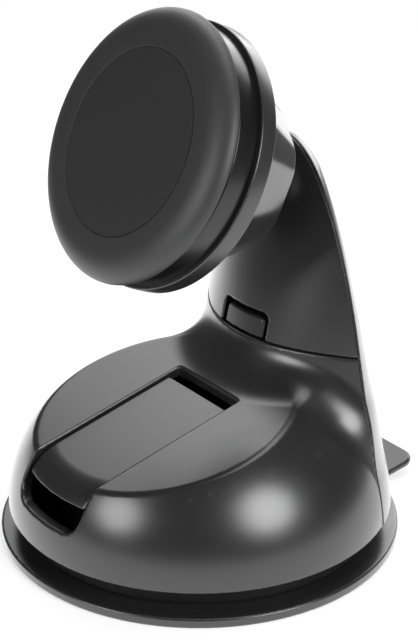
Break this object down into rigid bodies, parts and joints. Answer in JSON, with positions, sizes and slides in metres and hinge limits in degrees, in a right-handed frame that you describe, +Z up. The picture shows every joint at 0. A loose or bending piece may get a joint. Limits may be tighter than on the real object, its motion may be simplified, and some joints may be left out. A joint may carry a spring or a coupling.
{
  "type": "phone_holder",
  "caption": "Magnetic phone holder with a suction foot, a cam lever, a leaning arm and a round magnetic head on a ball joint",
  "frame": {"origin": "centre of the flat ring under the suction cup", "axes": "+Z up out of the surface that the cup grips, -Y to the front where the head's face and the lever's nose point, +X to the holder's left side as it faces the user"},
  "size_m": [0.07, 0.0785, 0.0916],
  "materials": {
    "cup_rubber": "smooth dark grey rubber with a soft sheen",
    "shell_plastic": "satin black moulded plastic",
    "inner_plastic": "plain black moulded plastic",
    "gloss_plastic": "glossy black plastic",
    "pad_rubber": "matt black rubber",
    "disc_plastic": "fine matt dark grey",
    "steel": "plain steel",
    "magnet": "nickel plated",
    "liner_plastic": "pale slippery plastic"
  },
  "bodies": {
    "base": {"suction_cup": "cup_rubber", "lift_spring": "steel", "base_plate": "inner_plastic", "base_housing": "shell_plastic", "base_screws": "steel", "arm_plate": "steel", "arm_front": "shell_plastic", "rear_cover": "shell_plastic", "cover_screws": "steel", "catch_spring": "steel"},
    "stem": {"cup_plate": "inner_plastic", "cup_stem": "steel", "stem_pin": "steel"},
    "lever": {"lock_lever": "shell_plastic"},
    "catch": {"release_catch": "gloss_plastic"},
    "stud": {"ball_stud": "steel", "stud_screw": "steel"},
    "liner": {"ball_liner": "liner_plastic"},
    "head": {"ball_socket": "inner_plastic", "head_plate": "gloss_plastic", "head_case": "inner_plastic", "head_screws": "steel", "keeper_plate": "steel", "magnet_tray": "inner_plastic", "magnets": "magnet", "front_pad": "pad_rubber", "face_disc": "disc_plastic"},
    "nut": {"ring_nut": "gloss_plastic"}
  },
  "joints": [
    {"name": "cup_lift", "type": "slide", "parent": "base", "child": "stem", "axis": [0, 0, 1], "range_m": [-0.0025, 0], "deforming": ["lift_spring", "suction_cup"]},
    {"name": "lever_hinge", "type": "hinge", "parent": "stem", "child": "lever", "pos_m": [0, 0, 0.02], "axis": [-1, 0, 0], "range_deg": [0, 70]},
    {"name": "catch_press", "type": "slide", "parent": "base", "child": "catch", "axis": [0, 1, 0], "range_m": [0, 0.0012], "stiffness_N_per_m": 300, "deforming": ["catch_spring"]},
    {"name": "stud_swivel", "type": "hinge", "parent": "base", "child": "stud", "pos_m": [0, 0.00377, 0.06406], "axis": [0, -0.9744, 0.225], "range_deg": [-90, 90]},
    {"name": "head_tilt", "type": "hinge", "parent": "stud", "child": "liner", "pos_m": [0, 0.00377, 0.06406], "axis": [-1, 0, 0], "range_deg": [-15, 15]},
    {"name": "head_roll", "type": "hinge", "parent": "liner", "child": "head", "pos_m": [0, 0.00377, 0.06406], "axis": [0, -0.9063, 0.4226], "continuous": true},
    {"name": "nut_turn", "type": "hinge", "parent": "head", "child": "nut", "pos_m": [0, 0.00377, 0.06406], "axis": [0, -0.9063, 0.4226], "range_deg": [0, 180]}
  ],
  "couplings": [
    {"joint": "lever_hinge", "follows": "cup_lift", "rad_per_m": -488.69}
  ]
}
